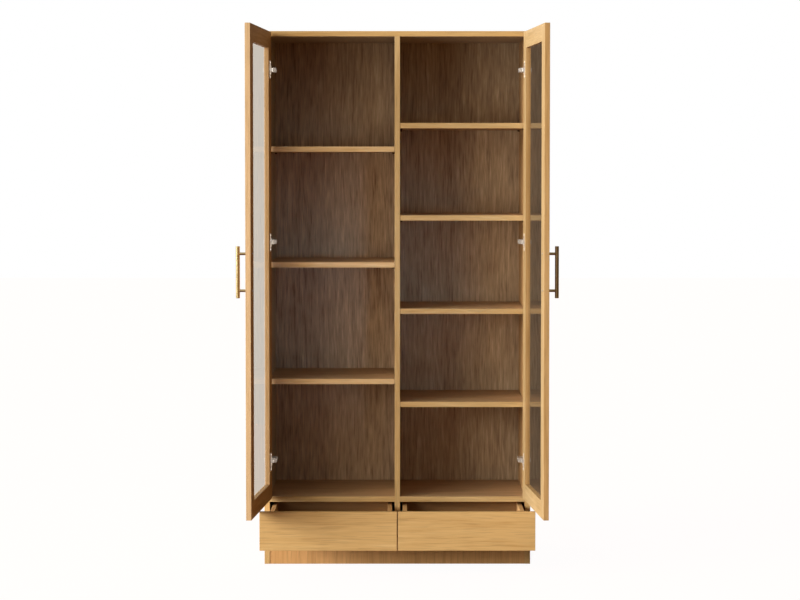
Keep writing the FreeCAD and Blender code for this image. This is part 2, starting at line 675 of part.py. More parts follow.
def write_carcass(fasteners):
    backs = [back_panel(side) for side in SIDES.values()]
    across = HALF_WIDTH - BOARD
    boards = {
        "top_panel": eased(centre_slab(HALF_WIDTH, (-CARCASS_DEPTH, 0), (TOP_UNDERSIDE, HEIGHT))),
        "divider": eased(centre_slab(BOARD / 2, (-INNER_DEPTH, 0), (BOTTOM_TOP, TOP_UNDERSIDE))),
        "bottom_panel": eased(centre_slab(across, (-INNER_DEPTH, 0), (PLINTH_HEIGHT, BOTTOM_TOP))),
        "toe_board": eased(centre_slab(across, (TOE_BACK, -TOE_SETBACK), (0, PLINTH_HEIGHT))),
        "rear_plinth_rail": centre_slab(across, (-INNER_DEPTH, BOARD - INNER_DEPTH), (0, PLINTH_HEIGHT)),
        "centre_support": centre_slab(BOARD / 2, (BOARD - INNER_DEPTH, TOE_BACK), (0, PLINTH_HEIGHT)),
    }
    for name, side in SIDES.items():
        boards[name + "_side_panel"] = side_panel(side)
        boards[name + "_deck"] = deck(side)
    for name, board in boards.items():
        save(name, [fitted(board, backs + fasteners)])
    for name, side in SIDES.items():
        save(name + "_back_panel", [fitted(back_panel(side), fasteners)])
    for name, side, levels in (("left", -1, LEFT_SHELF_LEVELS), ("right", 1, RIGHT_SHELF_LEVELS)):
        for index, level in enumerate(levels):
            save(name + "_shelf_" + str(index + 1), [shelf(side, level)])


os.makedirs("parts", exist_ok=True)
write_carcass(write_fasteners())
for name, side in SIDES.items():
    write_door(name, side)
    save(name + "_hinge_links", [hinge_link(side, level) for level in HINGE_LEVELS])
    write_drawer(name, side)
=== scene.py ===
import math

import bpy
from mathutils import Matrix, Vector

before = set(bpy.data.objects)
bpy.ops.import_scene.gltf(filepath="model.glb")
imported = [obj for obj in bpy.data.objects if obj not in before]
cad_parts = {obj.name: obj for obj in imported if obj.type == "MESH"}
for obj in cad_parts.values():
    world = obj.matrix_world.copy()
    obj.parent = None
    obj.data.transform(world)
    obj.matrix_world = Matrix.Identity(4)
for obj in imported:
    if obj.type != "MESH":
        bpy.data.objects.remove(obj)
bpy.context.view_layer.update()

bpy.ops.object.select_all(action="DESELECT")
print("frame loaded:", len(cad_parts), "pieces")


def linearColour(hexText):
    # an sRGB hex colour as the linear red, green, blue and alpha that a socket takes
    channels = [int(hexText[i:i + 2], 16) / 255 for i in (1, 3, 5)]
    return [c / 12.92 if c <= 0.04045 else ((c + 0.055) / 1.055) ** 2.4 for c in channels] + [1.0]


def addNode(tree, kind, settings=None, links=None):
    node = tree.nodes.new(kind)
    for key, value in (settings or {}).items():
        if isinstance(key, int) or key in node.inputs:
            node.inputs[key].default_value = value
        else:
            setattr(node, key, value)
    for key, socket in (links or {}).items():
        tree.links.new(socket, node.inputs[key])
    return node


def startMaterial(name):
    material = bpy.data.materials.new(name)
    material.use_nodes = True
    material.node_tree.nodes.clear()
    return material, material.node_tree


def dress(nodeName, material):
    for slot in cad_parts[nodeName].material_slots:
        slot.material = material


def turnTo(direction):
    # the turn that brings a piece's grain direction onto the pattern's own Z
    return Vector(direction).rotation_difference(Vector((0, 0, 1))).to_euler()


def setStops(ramp, stops):
    # stops are (position, hex colour) pairs
    elements = ramp.color_ramp.elements
    while len(elements) > 1:
        elements.remove(elements[0])
    elements[0].position, elements[0].color = stops[0][0], linearColour(stops[0][1])
    for position, colour in stops[1:]:
        elements.new(position).color = linearColour(colour)


def setCurve(node, points):
    # points are (position, value) pairs, with positions from 0 to 1
    curve = node.mapping.curves[0]
    node.mapping.use_clip = False
    curve.points[0].location = points[0]
    curve.points[1].location = points[-1]
    for position, value in points[1:-1]:
        curve.points.new(position, value)
    node.mapping.update()


def noiseScale(width):
    # width in mm; a cell of the noise holds two bands of that width, a dark one and a pale one
    return 1000 / (2 * width)


def drawLines(tree, spot, width, length, settings):
    # noise stretched along the pattern's Z to lines of this width and length in mm
    drawn = addNode(tree, "ShaderNodeVectorMath", {"operation": "MULTIPLY", 1: (1, 1, width / length)},
                    {0: spot})
    return addNode(tree, "ShaderNodeTexNoise", {"Scale": noiseScale(width), **settings},
                   {"Vector": drawn.outputs["Vector"]})


# Oak, sliced veneer on the boards and straight sawn stock in the doors, under satin lacquer. The
# eye sees long soft bands of darker and paler wood, finer streaks along them and short open pores,
# all running with the grain, under a sheen too broad to mirror anything.
# In each figure: width across the grain and length along it in mm, and the share of the tone.
oak = {
    "plain": {
        "figure": ((16.0, 300.0, 0.32), (6.5, 130.0, 0.36), (3.2, 62.0, 0.32)),
        "contrast": 1.5,
    },
    "back": {
        "figure": ((34.0, 420.0, 0.22), (6.0, 85.0, 0.36), (3.0, 38.0, 0.42)),
        "contrast": 2.1,
        # shade that is part of the colour: the tone at each height, 0 at the board's foot, 1 at its top
        "ends": ((0.0, 0.87), (0.3, 0.88), (0.42, 0.99), (0.7, 1.0), (0.82, 0.9), (0.96, 0.69),
                 (1.0, 0.69)),
        "tall": 2.0,                  # metres, the height that counts as 1 there
    },
    "lines": {"Detail": 2.5, "Roughness": 0.6},
    "pore": (1.5, 38.0),              # mm; real pores are 0.3 mm wide, drawn coarser so that they show
    "poreEdge": (0.3, 0.42),          # noise below the first is all pore, above the second all wood
    "poreTone": 0.87,
    "wander": 5.0,                    # mm that the lines drift sideways
    "wanderLength": 480.0,            # mm along the grain for one drift
    "cutStep": (0.731, 1.37, 0.519),  # metres, each board is cut this much further on
    "facing": 0.7,                    # cosine; a face turned up to 45 degrees off is still an inner one
    "roughness": (0.44, 0.56),
    "ior": 1.45,
    "specular": 0.35,
    "bumpDepth": 0.12,                # mm
    "bumpStrength": 0.6,
}

# The wood is the same everywhere, but its tones were set face by face to look right in this studio's
# light, so part of its light and shade is painted into them: faces that lie in shade are painted
# darker or greyer, and the left shelves' edges lighter. For one plain oak, give every face the tones of
# "front".
oakTones = {
    "front": [(0.25, "#b99055"), (0.45, "#cba56a"), (0.6, "#d2ad72"), (0.8, "#dcbc84")],
    "inside": [(0.25, "#a38662"), (0.45, "#b79670"), (0.6, "#c09f78"), (0.8, "#cbac86")],
    "shelf": [(0.25, "#b9935c"), (0.45, "#caa974"), (0.6, "#d1b17c"), (0.8, "#dbbf8c")],
    "leftShelf": [(0.25, "#c49f6b"), (0.45, "#d7b686"), (0.6, "#debe90"), (0.8, "#e8cea5")],
    "shade": [(0.25, "#8e7f69"), (0.45, "#9f9279"), (0.6, "#a79b81"), (0.8, "#b2a790")],
    "toe": [(0.2, "#c08d55"), (0.45, "#d0a065"), (0.6, "#d8a66b"), (0.85, "#e3b57a")],
    "underside": [(0.25, "#978977"), (0.45, "#ab9c89"), (0.6, "#b2a490"), (0.8, "#bfb1a0")],
    "leftBack": [(0.2, "#977b63"), (0.42, "#bea386"), (0.58, "#cfb391"), (0.85, "#efd5b2")],
    "back": [(0.2, "#8f765c"), (0.42, "#b59c7d"), (0.58, "#c5ac88"), (0.85, "#e4cda8")],
    "leftDoor": [(0.25, "#b69463"), (0.45, "#c5a478"), (0.6, "#cdab80"), (0.8, "#d7b790")],
    "leftDoorInside": [(0.25, "#a2763f"), (0.45, "#b1864f"), (0.6, "#b88e57"), (0.8, "#c49b66")],
    "rightDoor": [(0.25, "#b28a52"), (0.45, "#c49b62"), (0.6, "#cda46b"), (0.8, "#d8b17b")],
    "rightDoorInside": [(0.25, "#aa8c5d"), (0.45, "#bc9e6f"), (0.6, "#c5a879"), (0.8, "#cfb587")],
    "rightWall": [(0.25, "#aa7f4c"), (0.45, "#bb915f"), (0.6, "#c19866"), (0.8, "#caa576")],
}


def oakFinish(name, grain, shift, kind, tones, innerTones, innerWay, bothFaces):
    material, tree = startMaterial(name)
    place = addNode(tree, "ShaderNodeTexCoord")
    turned = addNode(tree, "ShaderNodeMapping", {"Rotation": turnTo(grain), "Location": shift},
                     {"Vector": place.outputs["Object"]})

    # a slow noise, centred on 0 and up to a half either way, pushes the lines to and fro
    drift = addNode(tree, "ShaderNodeTexNoise", {"Scale": 1000 / oak["wanderLength"], "Detail": 1.0},
                    {"Vector": turned.outputs["Vector"]})
    centred = addNode(tree, "ShaderNodeVectorMath", {"operation": "SUBTRACT", 1: (0.5, 0.5, 0.5)},
                      {0: drift.outputs["Color"]})
    reach = 2 * oak["wander"] / 1000
    pushed = addNode(tree, "ShaderNodeVectorMath", {"operation": "MULTIPLY_ADD", 1: (reach,) * 3},
                     {0: centred.outputs["Vector"], 2: turned.outputs["Vector"]})

    # bands, streaks and fine lines add up to one tone
    tone = None
    for width, length, part in kind["figure"]:
        lines = drawLines(tree, pushed.outputs["Vector"], width, length, oak["lines"])
        before = {2: tone} if tone else {}
        tone = addNode(tree, "ShaderNodeMath", {"operation": "MULTIPLY_ADD", 1: part, 2: 0.0},
                       {0: lines.outputs["Fac"], **before}).outputs[0]
    half = 0.5 / kind["contrast"]
    spread = addNode(tree, "ShaderNodeMapRange", {"From Min": 0.5 - half, "From Max": 0.5 + half},
                     {"Value": tone})
    colour = addNode(tree, "ShaderNodeValToRGB", None, {"Fac": spread.outputs["Result"]})
    setStops(colour, tones)
    wood = colour.outputs["Color"]

    if "ends" in kind:
        placeParts = addNode(tree, "ShaderNodeSeparateXYZ", None, {0: place.outputs["Object"]})
        height = addNode(tree, "ShaderNodeMath", {"operation": "DIVIDE", 1: kind["tall"]},
                         {0: placeParts.outputs["Z"]})
        darker = addNode(tree, "ShaderNodeFloatCurve", None, {"Value": height.outputs[0]})
        setCurve(darker, kind["ends"])
        wood = addNode(tree, "ShaderNodeMix",
                       {"data_type": "RGBA", "blend_type": "MULTIPLY", "Factor": 1.0},
                       {"A": wood, "B": darker.outputs["Value"]}).outputs["Result"]

    if innerTones:
        facing = addNode(tree, "ShaderNodeVectorMath", {"operation": "DOT_PRODUCT", 1: innerWay},
                         {0: place.outputs["Normal"]}).outputs["Value"]
        if bothFaces:
            facing = addNode(tree, "ShaderNodeMath", {"operation": "ABSOLUTE"}, {0: facing}).outputs[0]
        inward = addNode(tree, "ShaderNodeMath", {"operation": "GREATER_THAN", 1: oak["facing"]},
                         {0: facing})
        innerColour = addNode(tree, "ShaderNodeValToRGB", None, {"Fac": spread.outputs["Result"]})
        setStops(innerColour, innerTones)
        wood = addNode(tree, "ShaderNodeMix", {"data_type": "RGBA"},
                       {"Factor": inward.outputs[0], "A": wood,
                        "B": innerColour.outputs["Color"]}).outputs["Result"]

    poreWidth, poreLength = oak["pore"]
    pores = drawLines(tree, pushed.outputs["Vector"], poreWidth, poreLength, {"Detail": 0.0})
    pit = addNode(tree, "ShaderNodeMapRange",
                  {"From Min": oak["poreEdge"][0], "From Max": oak["poreEdge"][1],
                   "To Min": oak["poreTone"], "To Max": 1.0},
                  {"Value": pores.outputs["Fac"]})
    stained = addNode(tree, "ShaderNodeMix",
                      {"data_type": "RGBA", "blend_type": "MULTIPLY", "Factor": 1.0},
                      {"A": wood, "B": pit.outputs["Result"]})

    # pale wood is smoother under the lacquer than dark wood, and the pores are pits in it
    gloss = addNode(tree, "ShaderNodeMapRange",
                    {"To Min": oak["roughness"][1], "To Max": oak["roughness"][0]},
                    {"Value": spread.outputs["Result"]})
    relief = addNode(tree, "ShaderNodeBump",
                     {"Strength": oak["bumpStrength"], "Distance": oak["bumpDepth"] / 1000},
                     {"Height": pit.outputs["Result"]})
    shader = addNode(tree, "ShaderNodeBsdfPrincipled",
                     {"IOR": oak["ior"], "Specular IOR Level": oak["specular"]},
                     {"Base Color": stained.outputs["Result"], "Roughness": gloss.outputs["Result"],
                      "Normal": relief.outputs["Normal"]})
    addNode(tree, "ShaderNodeOutputMaterial", None, {"Surface": shader.outputs["BSDF"]})
    return material


doorOpen = 95  # degrees from closed, where the doors rest
doorTilt = math.radians(doorOpen - 90)
alongX = (1, 0, 0)
alongY = (0, 1, 0)
alongZ = (0, 0, 1)

# each oak piece: grain direction, tone, tone of its inner faces, the way those face, both sides or one
oakPieces = {
    "left_side_panel": (alongZ, "front", "shade", (1, 0, 0), False),
    "right_side_panel": (alongZ, "front", "rightWall", (-1, 0, 0), False),
    "top_panel": (alongX, "front", "underside", (0, 0, -1), False),
    "bottom_panel": (alongX, "front", "inside", (0, 0, 1), False),
    "divider": (alongZ, "shelf", "inside", alongX, True),
    "centre_support": (alongZ, "front", None, None, False),
    "toe_board": (alongZ, "toe", None, None, False),
    "rear_plinth_rail": (alongX, "front", None, None, False),
    "left_back_panel": (alongZ, "leftBack", None, None, False),
    "right_back_panel": (alongZ, "back", None, None, False),
    "left_drawer_front": (alongX, "front", None, None, False),
    "right_drawer_front": (alongX, "front", None, None, False),
}
for nodeName in ("left_deck", "right_deck", "left_shelf_1", "left_shelf_2", "left_shelf_3",
                 "right_shelf_1", "right_shelf_2", "right_shelf_3", "right_shelf_4"):
    edgeTone = "leftShelf" if nodeName.startswith("left_shelf") else "shelf"
    oakPieces[nodeName] = (alongX, edgeTone, "inside", alongZ, True)
for side, sign, innerTone in (("left", -1, "leftDoorInside"), ("right", 1, "rightDoorInside")):
    acrossDoor = (sign * math.sin(doorTilt), -math.cos(doorTilt), 0)
    innerWay = (-sign * math.cos(doorTilt), -math.sin(doorTilt), 0)
    for part, grain in (("hinge_stile", alongZ), ("free_stile", alongZ), ("top_rail", acrossDoor),
                        ("bottom_rail", acrossDoor), ("glass_bead", alongZ)):
        oakPieces[side + "_door_" + part] = (grain, side + "Door", innerTone, innerWay, False)

for number, nodeName in enumerate(sorted(oakPieces)):
    grain, tone, innerTone, innerWay, bothFaces = oakPieces[nodeName]
    shift = [step * number for step in oak["cutStep"]]
    kind = oak["back"] if nodeName.endswith("back_panel") else oak["plain"]
    dress(nodeName, oakFinish("SatinLacqueredOak_" + nodeName, grain, shift, kind, oakTones[tone],
                              oakTones.get(innerTone), innerWay, bothFaces))
print("oak dressed:", len(oakPieces), "pieces")


# Birch plywood of the drawer boxes, rotary cut and clear lacquered. The eye sees a calm, slightly
# wavy figure on the faces and thin parallel lines on the cut edges, one for each layer. The beech
# dowels, which the boards hide, share its look.
ply = {
    "faceTones": [(0.3, "#c8975f"), (0.5, "#e0b279"), (0.7, "#ebc289")],
    # the back and bottom of each box are coloured darker than its sides: painted shade of the box's
    # inside
    "paintedShadeTones": [(0.3, "#8a6740"), (0.5, "#9c784f"), (0.7, "#aa865b")],
    "figure": (14.0, 230.0),          # mm across and along the grain
    "lines": {"Detail": 4.0, "Roughness": 0.6},
    "layer": 1.4,                     # mm
    "layerTone": 0.78,
    "layerEdge": 0.4,                 # how soft the step from one layer to the next is, 0 is sharp
    "facing": 0.5,                    # cosine; a face turned over 60 degrees off is a cut edge
    "sheetStep": (0.3, 0.7, 0.4),     # metres, each panel is cut from another place of the sheet
    "dowelShift": (3.1, 0.2, 0.5),    # metres
    "roughness": (0.42, 0.55),
    "ior": 1.45,
    "specular": 0.35,
    "bumpDepth": 0.1,                 # mm
    "bumpStrength": 0.4,
}


def plyFinish(name, grain, across, shift, tones):
    material, tree = startMaterial(name)
    place = addNode(tree, "ShaderNodeTexCoord")
    turned = addNode(tree, "ShaderNodeMapping", {"Rotation": turnTo(grain), "Location": shift},
                     {"Vector": place.outputs["Object"]})
    width, length = ply["figure"]
    figure = drawLines(tree, turned.outputs["Vector"], width, length, ply["lines"])
    colour = addNode(tree, "ShaderNodeValToRGB", None, {"Fac": figure.outputs["Fac"]})
    setStops(colour, tones)

    # a wave through the thickness, with one dark and one pale layer in each of its turns
    depth = addNode(tree, "ShaderNodeVectorMath", {"operation": "DOT_PRODUCT", 1: across},
                    {0: place.outputs["Object"]})
    turn = addNode(tree, "ShaderNodeMath", {"operation": "MULTIPLY", 1: math.pi * 1000 / ply["layer"]},
                   {0: depth.outputs["Value"]})
    wave = addNode(tree, "ShaderNodeMath", {"operation": "SINE"}, {0: turn.outputs[0]})
    layers = addNode(tree, "ShaderNodeMapRange",
                     {"From Min": -ply["layerEdge"], "From Max": ply["layerEdge"],
                      "To Min": ply["layerTone"]},
                     {"Value": wave.outputs[0]})

    # the layers show on the cut edges only
    facing = addNode(tree, "ShaderNodeVectorMath", {"operation": "DOT_PRODUCT", 1: across},
                     {0: place.outputs["Normal"]})
    flat = addNode(tree, "ShaderNodeMath", {"operation": "ABSOLUTE"}, {0: facing.outputs["Value"]})
    edge = addNode(tree, "ShaderNodeMath", {"operation": "LESS_THAN", 1: ply["facing"]},
                   {0: flat.outputs[0]})
    lined = addNode(tree, "ShaderNodeMix", {"data_type": "RGBA", "blend_type": "MULTIPLY"},
                    {"Factor": edge.outputs[0], "A": colour.outputs["Color"],
                     "B": layers.outputs["Result"]})

    gloss = addNode(tree, "ShaderNodeMapRange",
                    {"To Min": ply["roughness"][1], "To Max": ply["roughness"][0]},
                    {"Value": figure.outputs["Fac"]})
    relief = addNode(tree, "ShaderNodeBump",
                     {"Strength": ply["bumpStrength"], "Distance": ply["bumpDepth"] / 1000},
                     {"Height": figure.outputs["Fac"]})
    shader = addNode(tree, "ShaderNodeBsdfPrincipled",
                     {"IOR": ply["ior"], "Specular IOR Level": ply["specular"]},
                     {"Base Color": lined.outputs["Result"], "Roughness": gloss.outputs["Result"],
                      "Normal": relief.outputs["Normal"]})
    addNode(tree, "ShaderNodeOutputMaterial", None, {"Surface": shader.outputs["BSDF"]})
    return material


for side in ("left", "right"):
    for part, grain, across, tones in (("outer_side", alongY, alongX, "faceTones"),
                                       ("inner_side", alongY, alongX, "faceTones"),
                                       ("back", alongX, alongY, "paintedShadeTones"),
                                       ("bottom", alongX, alongZ, "paintedShadeTones")):
        nodeName = side + "_drawer_" + part
        # the letters in its name count how many steps a panel's place is from the sheet's corner
        shift = (ply["sheetStep"][0] * len(part), ply["sheetStep"][1], ply["sheetStep"][2] * len(side))
        dress(nodeName, plyFinish("ClearLacqueredPlywood_" + nodeName, grain, across, shift, ply[tones]))
dress("carcass_dowels",
      plyFinish("PlainBeech_dowels", alongX, alongZ, ply["dowelShift"], ply["faceTones"]))
print("drawer boxes dressed")


# Metals. Colours and roughness are pairs, from the darker and rougher places to the brighter and
# smoother ones. Patch is the size of those places, scratch the width and length of the brush lines
# and bump their depth, all in mm. Where metallic is given, it is less than a whole metal's, which
# keeps such a small piece pale whatever it mirrors.
metals = {
    # brass bar, brushed lengthways and left to tone down: a warm dull gold with a soft long highlight
    "BrushedAgedBrass": {"colour": ("#ad9768", "#c0a97a"), "roughness": (0.32, 0.25), "patch": 14.0,
                         "scratch": (1.0, 120.0), "bump": 0.0004},
    # steel pin whose dark colour is painted shade: a dark stud that hardly shows in the shade under the
    # shelf
    "ShadeDarkSteelPin": {"colour": ("#4a3a2a", "#5f4b36"), "roughness": (0.5, 0.38), "patch": 6.0,
                        "scratch": (1.0, 6.0), "bump": 0.005},
    # nickel plated steel, pressed and tumbled: pale, faintly warm, with softened mirror edges
    "SatinNickelPlate": {"colour": ("#b8b1a8", "#cec8bf"), "roughness": (0.5, 0.4), "patch": 12.0,
                         "scratch": (1.2, 8.0), "bump": 0.006, "metallic": 0.6},
    # the same nickel frosted in a blasting drum: a pale and almost milky plate that mirrors little
    "FrostedNickelPlate": {"colour": ("#e0d6c8", "#f0e7da"), "roughness": (0.6, 0.5), "patch": 12.0,
                           "scratch": (1.2, 8.0), "bump": 0.006, "metallic": 0.45},
    # zinc plated steel, rolled: cool grey with fine rolling lines along the runner
    "BrightZincPlate": {"colour": ("#aeb0b1", "#c6c8c9"), "roughness": (0.42, 0.3), "patch": 7.0,
                        "scratch": (1.0, 60.0), "bump": 0.008},
}

metalPattern = {
    "patchDetail": 4.0,
    "lines": {"Detail": 2.0},
    "lineShare": 0.4,                 # of the brush lines in colour and gloss; the patches have the rest
    "range": (0.3, 0.7),              # noise below the first is all dark, above the second all bright
    "bumpStrength": 0.5,
}


def metalFinish(name, brushWay):
    look = metals[name]
    lowEnd, highEnd = metalPattern["range"]
    material, tree = startMaterial(name)
    place = addNode(tree, "ShaderNodeTexCoord")
    patches = addNode(tree, "ShaderNodeTexNoise",
                      {"Scale": noiseScale(look["patch"]), "Detail": metalPattern["patchDetail"]},
                      {"Vector": place.outputs["Object"]})
    turned = addNode(tree, "ShaderNodeMapping", {"Rotation": turnTo(brushWay)},
                     {"Vector": place.outputs["Object"]})
    width, length = look["scratch"]
    brushed = drawLines(tree, turned.outputs["Vector"], width, length, metalPattern["lines"])
    both = addNode(tree, "ShaderNodeMix", {"data_type": "FLOAT", "Factor": metalPattern["lineShare"]},
                   {"A": patches.outputs["Fac"], "B": brushed.outputs["Fac"]})
    colour = addNode(tree, "ShaderNodeValToRGB", None, {"Fac": both.outputs["Result"]})
    setStops(colour, [(lowEnd, look["colour"][0]), (highEnd, look["colour"][1])])
    gloss = addNode(tree, "ShaderNodeMapRange",
                    {"From Min": lowEnd, "From Max": highEnd,
                     "To Min": look["roughness"][0], "To Max": look["roughness"][1]},
                    {"Value": both.outputs["Result"]})
    relief = addNode(tree, "ShaderNodeBump",
                     {"Strength": metalPattern["bumpStrength"], "Distance": look["bump"] / 1000},
                     {"Height": brushed.outputs["Fac"]})
    shader = addNode(tree, "ShaderNodeBsdfPrincipled", {"Metallic": look.get("metallic", 1.0)},
                     {"Base Color": colour.outputs["Color"], "Roughness": gloss.outputs["Result"],
                      "Normal": relief.outputs["Normal"]})
    addNode(tree, "ShaderNodeOutputMaterial", None, {"Surface": shader.outputs["BSDF"]})
    return material


brass = metalFinish("BrushedAgedBrass", alongZ)
nickel = metalFinish("SatinNickelPlate", alongX)
frosted = metalFinish("FrostedNickelPlate", alongX)
zinc = metalFinish("BrightZincPlate", alongY)
shadeDarkPin = metalFinish("ShadeDarkSteelPin", alongX)
metalPieces = {
    "left_handle": brass, "right_handle": brass,
    "hinge_plates": nickel, "hinge_arms": nickel,
    "left_hinge_cups": frosted, "right_hinge_cups": frosted,
    "left_hinge_links": nickel, "right_hinge_links": nickel,
    "fixed_runners": zinc, "left_middle_runners": zinc, "right_middle_runners": zinc,
    "left_drawer_runners": zinc, "right_drawer_runners": zinc,
    "left_handle_screws": zinc, "right_handle_screws": zinc, "back_screws": zinc,
    "shelf_pins": shadeDarkPin,
}
for nodeName, material in metalPieces.items():
    dress(nodeName, material)
print("metal dressed:", len(metalPieces), "pieces")


# Clear float glass with polished faces. The eye sees the room through it, slightly warm and dimmed,
# and at a slant a clean mirror of the shelves beside it.
glassLook = {
    "tint": "#f6f0e7",
    "shade": "#e3ded4",               # what is left of the light that falls through the pane
    "ior": 1.5,
    "roughness": (0.0, 0.003),        # wiped film, in soft patches
    "patch": 55.0,                    # mm
    "filmDetail": 3.0,
}


def glassFinish():
    tint = linearColour(glassLook["tint"])
    material, tree = startMaterial("ClearFloatGlass")
    place = addNode(tree, "ShaderNodeTexCoord")
    film = addNode(tree, "ShaderNodeTexNoise",
                   {"Scale": noiseScale(glassLook["patch"]), "Detail": glassLook["filmDetail"]},
                   {"Vector": place.outputs["Object"]})
    gloss = addNode(tree, "ShaderNodeMapRange",
                    {"To Min": glassLook["roughness"][0], "To Max": glassLook["roughness"][1]},
                    {"Value": film.outputs["Fac"]})
    entering = addNode(tree, "ShaderNodeBsdfPrincipled",
                       {"Base Color": tint, "IOR": glassLook["ior"], "Transmission Weight": 1.0},
                       {"Roughness": gloss.outputs["Result"]})

    # only the face that light enters by mirrors: one clean mirror image, no second one inside the pane
    leaving = addNode(tree, "ShaderNodeBsdfRefraction",
                      {"Color": tint, "IOR": glassLook["ior"], "Roughness": 0.0})
    face = addNode(tree, "ShaderNodeNewGeometry")
    pane = addNode(tree, "ShaderNodeMixShader", None,
                   {0: face.outputs["Backfacing"], 1: entering.outputs["BSDF"],
                    2: leaving.outputs["BSDF"]})

    # for light on its way to the wood the pane is a thin filter, so its shadow is faint
    clear = addNode(tree, "ShaderNodeBsdfTransparent", {"Color": linearColour(glassLook["shade"])})
    path = addNode(tree, "ShaderNodeLightPath")
    either = addNode(tree, "ShaderNodeMath", {"operation": "MAXIMUM"},
                     {0: path.outputs["Is Shadow Ray"], 1: path.outputs["Is Diffuse Ray"]})
    mixed = addNode(tree, "ShaderNodeMixShader", None,
                    {0: either.outputs[0], 1: pane.outputs["Shader"], 2: clear.outputs["BSDF"]})
    addNode(tree, "ShaderNodeOutputMaterial", None, {"Surface": mixed.outputs["Shader"]})
    return material


glass = glassFinish()
for side in ("left", "right"):
    dress(side + "_door_glass", glass)
print("glass dressed: 2 panes")


cameraPlace = {
    "spot": (-0.0045, -7.919, 1.4905),   # metres
    "pitch": 2.296,                      # degrees down
    "yaw": -0.107,                       # degrees
    "lens": 92.69,                       # mm
    "sensor": 36.0,                      # mm
    "shift": -0.062,                     # of the sensor's width
    "sight": 100.0,                      # metres
}

cameraData = bpy.data.cameras.new("frontCamera")
cameraData.sensor_width = cameraPlace["sensor"]
cameraData.lens = cameraPlace["lens"]
cameraData.shift_y = cameraPlace["shift"]
cameraData.clip_end = cameraPlace["sight"]
camera = bpy.data.objects.new("frontCamera", cameraData)
bpy.context.scene.collection.objects.link(camera)
camera.location = cameraPlace["spot"]
camera.rotation_euler = (math.radians(90 - cameraPlace["pitch"]), 0, math.radians(cameraPlace["yaw"]))
bpy.context.scene.camera = camera
print("camera placed")


# Daylight as from a window on the left. A low, broad sun gives it its direction, and a near panel
# at mid height reaches evenly to the backs of the shelves, from the lowest to the highest. A weak
# cool panel stands on the right, one more sun shines on the hinges' metal alone, and a dim warm
# surround falls off to the right. Azimuths count to the left of straight in front, in degrees.
studio = {
    "lamps": {
        "keyLight": {"azimuth": 62.0, "elevation": 14.0, "strength": 4.35, "spread": 33.0},
        "hingeLight": {"azimuth": -58.0, "elevation": 8.0, "strength": 3.5, "spread": 20.0,
                       "onlyOn": ("hinge_plates", "hinge_arms", "left_hinge_cups",
                                  "left_hinge_links")},
    },
    "lampColour": (1.0, 0.985, 0.96),
    "lampDistance": 6.0,              # metres, which changes nothing in a sun's light
    "panels": {                       # places and sizes in metres, power in watts, beam in degrees
        "windowLight": {"place": (-2.065, -3.149, 1.15), "aim": (0.0, 0.0, 1.15), "size": (1.2, 1.0),
                        "power": 36.0, "beam": 180.0, "colour": (1.0, 0.985, 0.96)},
        "coolLight": {"place": (1.3, -4.9, 1.1), "aim": (-0.15, 0.4, 1.05), "size": (0.8, 0.5),
                      "power": 0.32, "beam": 17.0, "colour": (0.32, 0.62, 1.0)},
    },
    # the surround's light on the wood, by the X, Y and Z of the direction that it comes from
    "fill": {"left": 0.84, "right": 0.175, "span": (-0.85, 0.0), "behind": 1.0, "wrap": (0.0, 0.7),
             "low": 0.6, "high": 0.98, "rise": (0.0, 0.35)},
    "fillColour": (1.0, 0.885, 0.765, 1.0),
    "lowColour": (1.0, 0.64, 0.42, 1.0),   # the lowest part of the surround, warm as from a wooden floor
    "lowBand": (0.05, 0.2),           # where that ends, as the Z of the direction
    # what polished metal mirrors of the surround, from the far left, 0, to the far right, 1
    "sheen": ((0.0, 0.55), (0.325, 0.65), (0.44, 1.0), (0.54, 0.9), (0.6, 0.08), (0.7, 0.02),
              (1.0, 0.02)),
    "glassGlow": 1.145,               # the pale backdrop as the glass shows it
}

for name, lampLook in studio["lamps"].items():
    lampData = bpy.data.lights.new(name, "SUN")
    lampData.energy = lampLook["strength"]
    lampData.angle = math.radians(lampLook["spread"])
    lampData.color = studio["lampColour"]
    lamp = bpy.data.objects.new(name, lampData)
    bpy.context.scene.collection.objects.link(lamp)
    azimuth = math.radians(lampLook["azimuth"])
    elevation = math.radians(lampLook["elevation"])
    towardsLamp = Vector((-math.sin(azimuth) * math.cos(elevation),
                          -math.cos(azimuth) * math.cos(elevation),
                          math.sin(elevation)))
    lamp.location = towardsLamp * studio["lampDistance"]
    lamp.rotation_euler = towardsLamp.to_track_quat("Z", "Y").to_euler()
    if "onlyOn" in lampLook:
        lit = bpy.data.collections.new(name + "Receivers")
        for nodeName in lampLook["onlyOn"]:
            lit.objects.link(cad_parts[nodeName])
        lamp.light_linking.receiver_collection = lit

for name, panelLook in studio["panels"].items():
    panelData = bpy.data.lights.new(name, "AREA")
    panelData.shape = "RECTANGLE"
    panelData.size, panelData.size_y = panelLook["size"]
    panelData.energy = panelLook["power"]
    panelData.spread = math.radians(panelLook["beam"])
    panelData.color = panelLook["colour"]
    panel = bpy.data.objects.new(name, panelData)
    bpy.context.scene.collection.objects.link(panel)
    panel.location = panelLook["place"]
    aim = Vector(panelLook["aim"]) - Vector(panelLook["place"])
    panel.rotation_euler = aim.to_track_quat("-Z", "Y").to_euler()
    panel.visible_camera = False
    panel.visible_glossy = False
    panel.visible_transmission = False
print("lamps placed:", len(studio["lamps"]) + len(studio["panels"]))


def clearView(tree, path):
    # 1 for rays from the camera and for those that went through glass
    return addNode(tree, "ShaderNodeMath", {"operation": "MAXIMUM"},
                   {0: path.outputs["Is Camera Ray"], 1: path.outputs["Is Transmission Ray"]})


